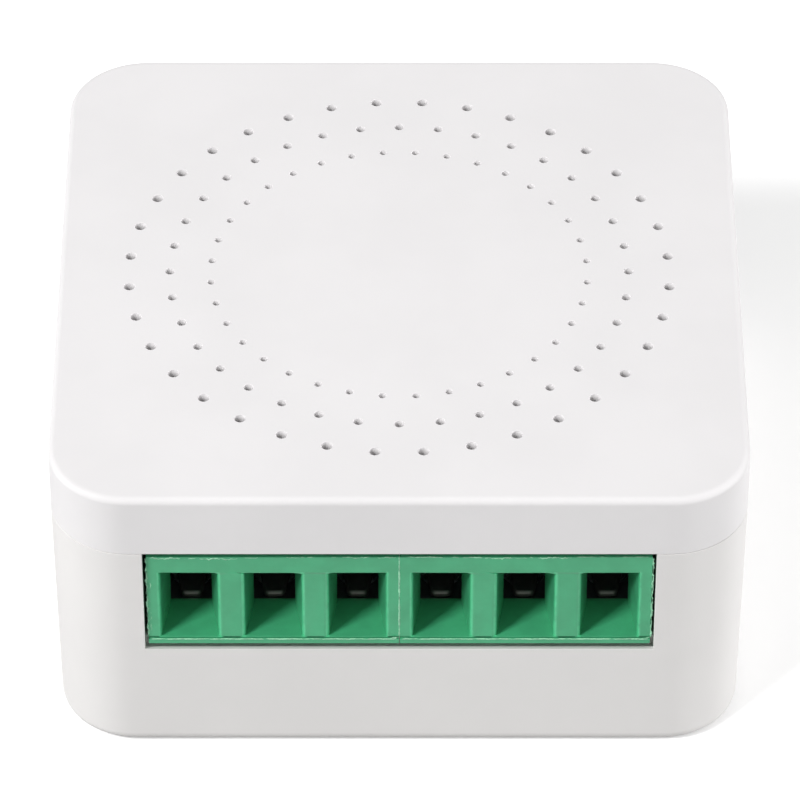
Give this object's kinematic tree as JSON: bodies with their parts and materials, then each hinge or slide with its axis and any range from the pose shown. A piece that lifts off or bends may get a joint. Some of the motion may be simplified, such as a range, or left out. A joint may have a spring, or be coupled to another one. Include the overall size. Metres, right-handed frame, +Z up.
{
  "type": "smart dimmer module",
  "caption": "Square white dimmer module with round corners, rings of small blind holes in its cover, green screw terminals in the front and a pairing button below.",
  "frame": {"origin": "centre of the flat underside", "axes": "+Z up through the cover; -Y is the front, where the wire terminals are; +X to the right seen from the front"},
  "size_m": [0.0414, 0.0414, 0.0201],
  "materials": {
    "base_plastic": "fine matte moulded white",
    "cover_plastic": "fine matte moulded white",
    "button_plastic": "matte moulded light grey",
    "terminal_plastic": "moulded green with light edges",
    "clear_plastic": "clear moulded rod",
    "switch_plastic": "black moulded",
    "board_laminate": "green solder mask",
    "solder": "bright solder",
    "screw_steel": "zinc plated",
    "cage_steel": "zinc plated strip",
    "tinned_brass": "tin plated brass strip",
    "tinned_steel": "tinned sheet",
    "spreader_metal": "plain sheet",
    "film_box": "yellow moulded box",
    "ferrite": "sintered grey",
    "copper_wire": "enamelled copper wire",
    "resistor_enamel": "flameproof enamel",
    "varistor_coating": "blue dipped coating",
    "can_sleeve": "black sleeve",
    "chip_epoxy": "black moulded epoxy",
    "ceramic": "sintered ceramic"
  },
  "bodies": {
    "housing": {"base_shell": "base_plastic", "top_cover": "cover_plastic", "circuit_board": "board_laminate", "solder_joints": "solder", "tact_switch": "switch_plastic", "light_pipe": "clear_plastic", "status_led": "ceramic", "film_capacitor": "film_box", "choke_core": "ferrite", "choke_winding": "copper_wire", "fuse_resistor": "resistor_enamel", "varistor": "varistor_coating", "large_capacitor": "can_sleeve", "small_capacitor": "can_sleeve", "radio_board": "board_laminate", "radio_shield": "tinned_steel", "radio_chip": "chip_epoxy", "antenna_chip": "ceramic", "bridge_rectifier": "chip_epoxy", "supply_chip": "chip_epoxy", "transistor_left": "chip_epoxy", "transistor_right": "chip_epoxy", "heat_spreader": "spreader_metal", "chip_resistors": "ceramic", "chip_capacitors": "ceramic", "driver_chips": "chip_epoxy", "terminal_block_left": "terminal_plastic", "terminal_block_right": "terminal_plastic", "contact_bar_1": "tinned_brass", "contact_bar_2": "tinned_brass", "contact_bar_3": "tinned_brass", "contact_bar_4": "tinned_brass", "contact_bar_5": "tinned_brass", "contact_bar_6": "tinned_brass"},
    "button": {"pairing_button": "button_plastic", "switch_plunger": "switch_plastic"},
    "screw_1": {"terminal_screw_1": "screw_steel"},
    "cage_1": {"clamp_cage_1": "cage_steel"},
    "screw_2": {"terminal_screw_2": "screw_steel"},
    "cage_2": {"clamp_cage_2": "cage_steel"},
    "screw_3": {"terminal_screw_3": "screw_steel"},
    "cage_3": {"clamp_cage_3": "cage_steel"},
    "screw_4": {"terminal_screw_4": "screw_steel"},
    "cage_4": {"clamp_cage_4": "cage_steel"},
    "screw_5": {"terminal_screw_5": "screw_steel"},
    "cage_5": {"clamp_cage_5": "cage_steel"},
    "screw_6": {"terminal_screw_6": "screw_steel"},
    "cage_6": {"clamp_cage_6": "cage_steel"}
  },
  "joints": [
    {"name": "button_press", "type": "slide", "parent": "housing", "child": "button", "axis": [0, 0, 1], "range_m": [0, 0.00035], "stiffness_N_per_m": 2000, "springref_m": -0.0003},
    {"name": "screw_turn_1", "type": "hinge", "parent": "housing", "child": "screw_1", "pos_m": [-0.0125, -0.0143, 0.0045], "axis": [0, 0, 1], "range_deg": [0, 1800]},
    {"name": "cage_slide_1", "type": "slide", "parent": "housing", "child": "cage_1", "axis": [0, 0, -1], "range_m": [0, 0.0025]},
    {"name": "screw_turn_2", "type": "hinge", "parent": "housing", "child": "screw_2", "pos_m": [-0.0075, -0.0143, 0.0045], "axis": [0, 0, 1], "range_deg": [0, 1800]},
    {"name": "cage_slide_2", "type": "slide", "parent": "housing", "child": "cage_2", "axis": [0, 0, -1], "range_m": [0, 0.0025]},
    {"name": "screw_turn_3", "type": "hinge", "parent": "housing", "child": "screw_3", "pos_m": [-0.0025, -0.0143, 0.0045], "axis": [0, 0, 1], "range_deg": [0, 1800]},
    {"name": "cage_slide_3", "type": "slide", "parent": "housing", "child": "cage_3", "axis": [0, 0, -1], "range_m": [0, 0.0025]},
    {"name": "screw_turn_4", "type": "hinge", "parent": "housing", "child": "screw_4", "pos_m": [0.0025, -0.0143, 0.0045], "axis": [0, 0, 1], "range_deg": [0, 1800]},
    {"name": "cage_slide_4", "type": "slide", "parent": "housing", "child": "cage_4", "axis": [0, 0, -1], "range_m": [0, 0.0025]},
    {"name": "screw_turn_5", "type": "hinge", "parent": "housing", "child": "screw_5", "pos_m": [0.0075, -0.0143, 0.0045], "axis": [0, 0, 1], "range_deg": [0, 1800]},
    {"name": "cage_slide_5", "type": "slide", "parent": "housing", "child": "cage_5", "axis": [0, 0, -1], "range_m": [0, 0.0025]},
    {"name": "screw_turn_6", "type": "hinge", "parent": "housing", "child": "screw_6", "pos_m": [0.0125, -0.0143, 0.0045], "axis": [0, 0, 1], "range_deg": [0, 1800]},
    {"name": "cage_slide_6", "type": "slide", "parent": "housing", "child": "cage_6", "axis": [0, 0, -1], "range_m": [0, 0.0025]}
  ],
  "couplings": [
    {"joint": "screw_turn_1", "follows": "cage_slide_1", "rad_per_m": 12566},
    {"joint": "screw_turn_2", "follows": "cage_slide_2", "rad_per_m": 12566},
    {"joint": "screw_turn_3", "follows": "cage_slide_3", "rad_per_m": 12566},
    {"joint": "screw_turn_4", "follows": "cage_slide_4", "rad_per_m": 12566},
    {"joint": "screw_turn_5", "follows": "cage_slide_5", "rad_per_m": 12566},
    {"joint": "screw_turn_6", "follows": "cage_slide_6", "rad_per_m": 12566}
  ]
}
